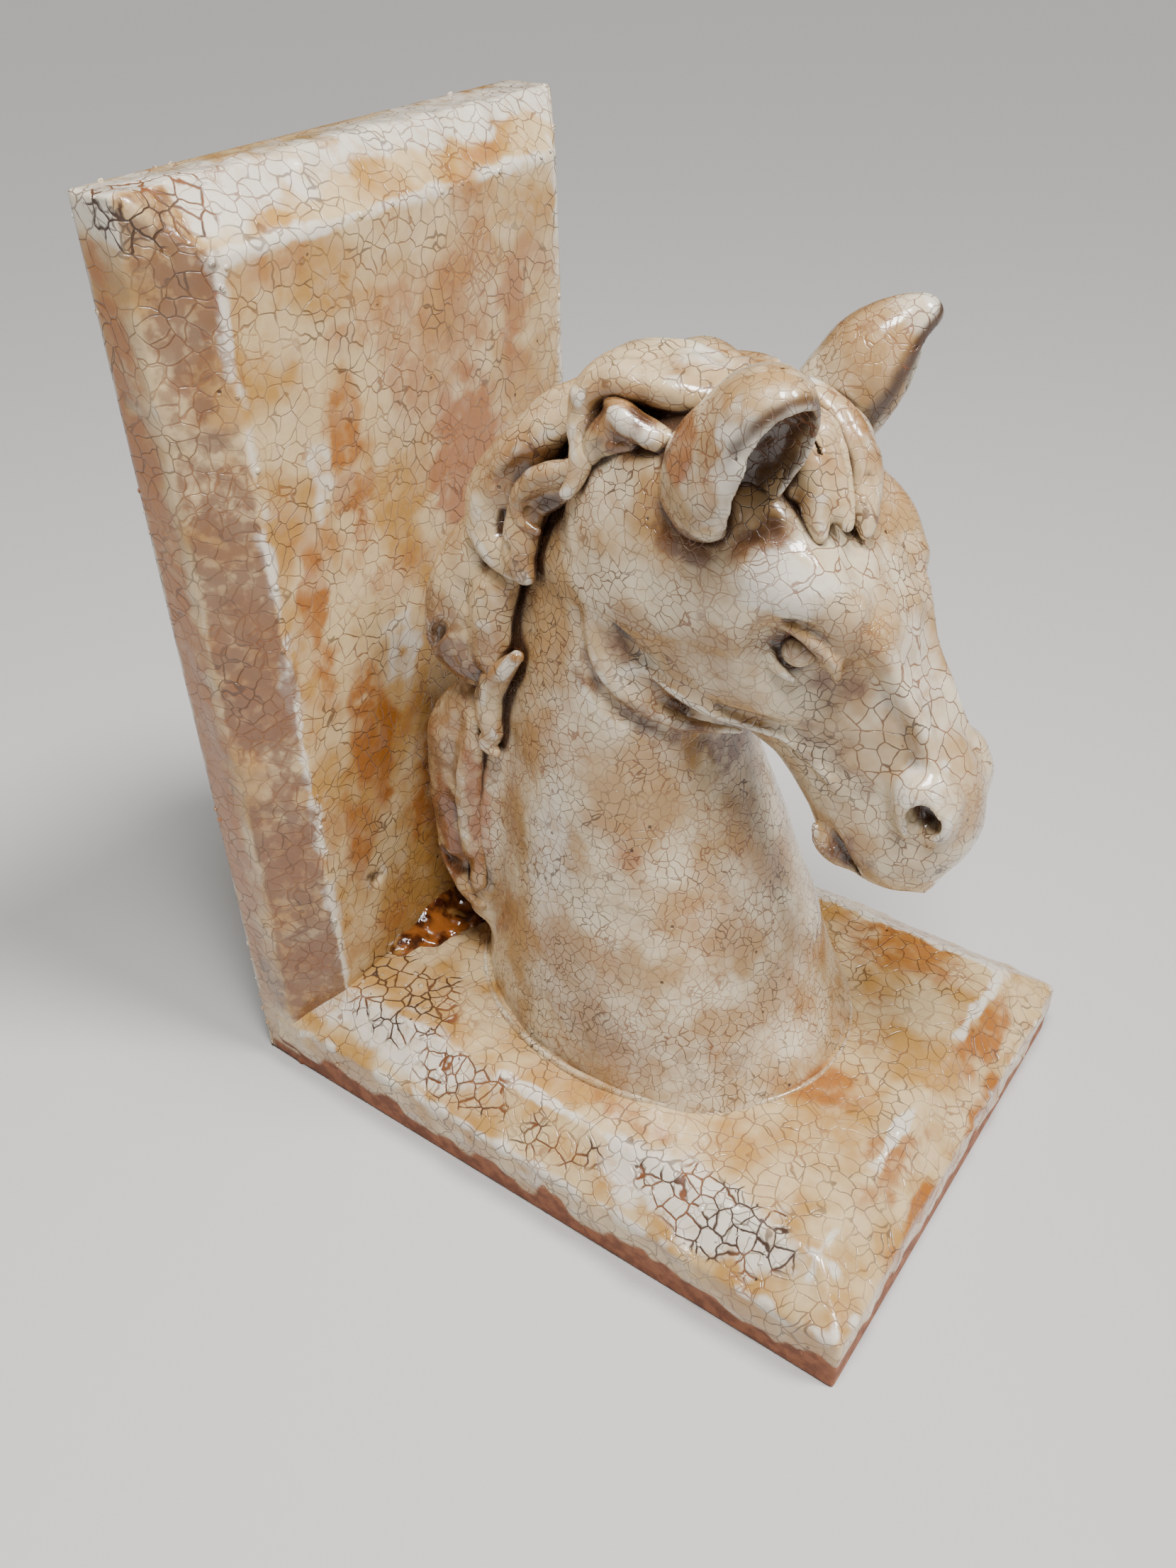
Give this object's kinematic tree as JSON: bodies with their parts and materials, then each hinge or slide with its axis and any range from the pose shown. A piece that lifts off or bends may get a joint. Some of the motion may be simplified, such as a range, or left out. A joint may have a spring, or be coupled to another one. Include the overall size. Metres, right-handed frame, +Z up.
{
  "type": "horse-head book end",
  "caption": "L-shaped ceramic book end with bevelled slabs and a modelled horse's head and neck standing on the base, in cream crackle glaze.",
  "frame": {"origin": "on the shelf, under the middle of the book end's overall box", "axes": "+X from the books' face to the horse's nose, +Y to the horse's left, +Z up"},
  "size_m": [0.156, 0.114, 0.2],
  "materials": {
    "slab_glaze": "glossy cream crackle glaze over terracotta, with rust-orange and dark brown patches",
    "horse_glaze": "glossy cream crackle glaze with fine brown craze lines and dark brown stain in the hollows",
    "mane_glaze": "glossy cream crackle glaze, white on the crests and rust-brown in the folds"
  },
  "bodies": {
    "root": {"back_slab": "slab_glaze", "base_slab": "slab_glaze", "neck_casting": "horse_glaze", "neck_coil": "horse_glaze", "head_casting": "horse_glaze", "right_eye": "horse_glaze", "left_eye": "horse_glaze", "right_ear": "horse_glaze", "left_ear": "horse_glaze", "mane_crest": "mane_glaze", "poll_lock": "mane_glaze", "poll_tuft": "mane_glaze", "curl_lock": "mane_glaze", "inner_curl": "mane_glaze", "full_lock": "mane_glaze", "small_curl": "mane_glaze", "long_lock": "mane_glaze", "left_upper_lock": "mane_glaze", "left_middle_lock": "mane_glaze", "left_lower_lock": "mane_glaze", "right_forelock": "mane_glaze", "left_forelock": "mane_glaze"}
  },
  "joints": []
}
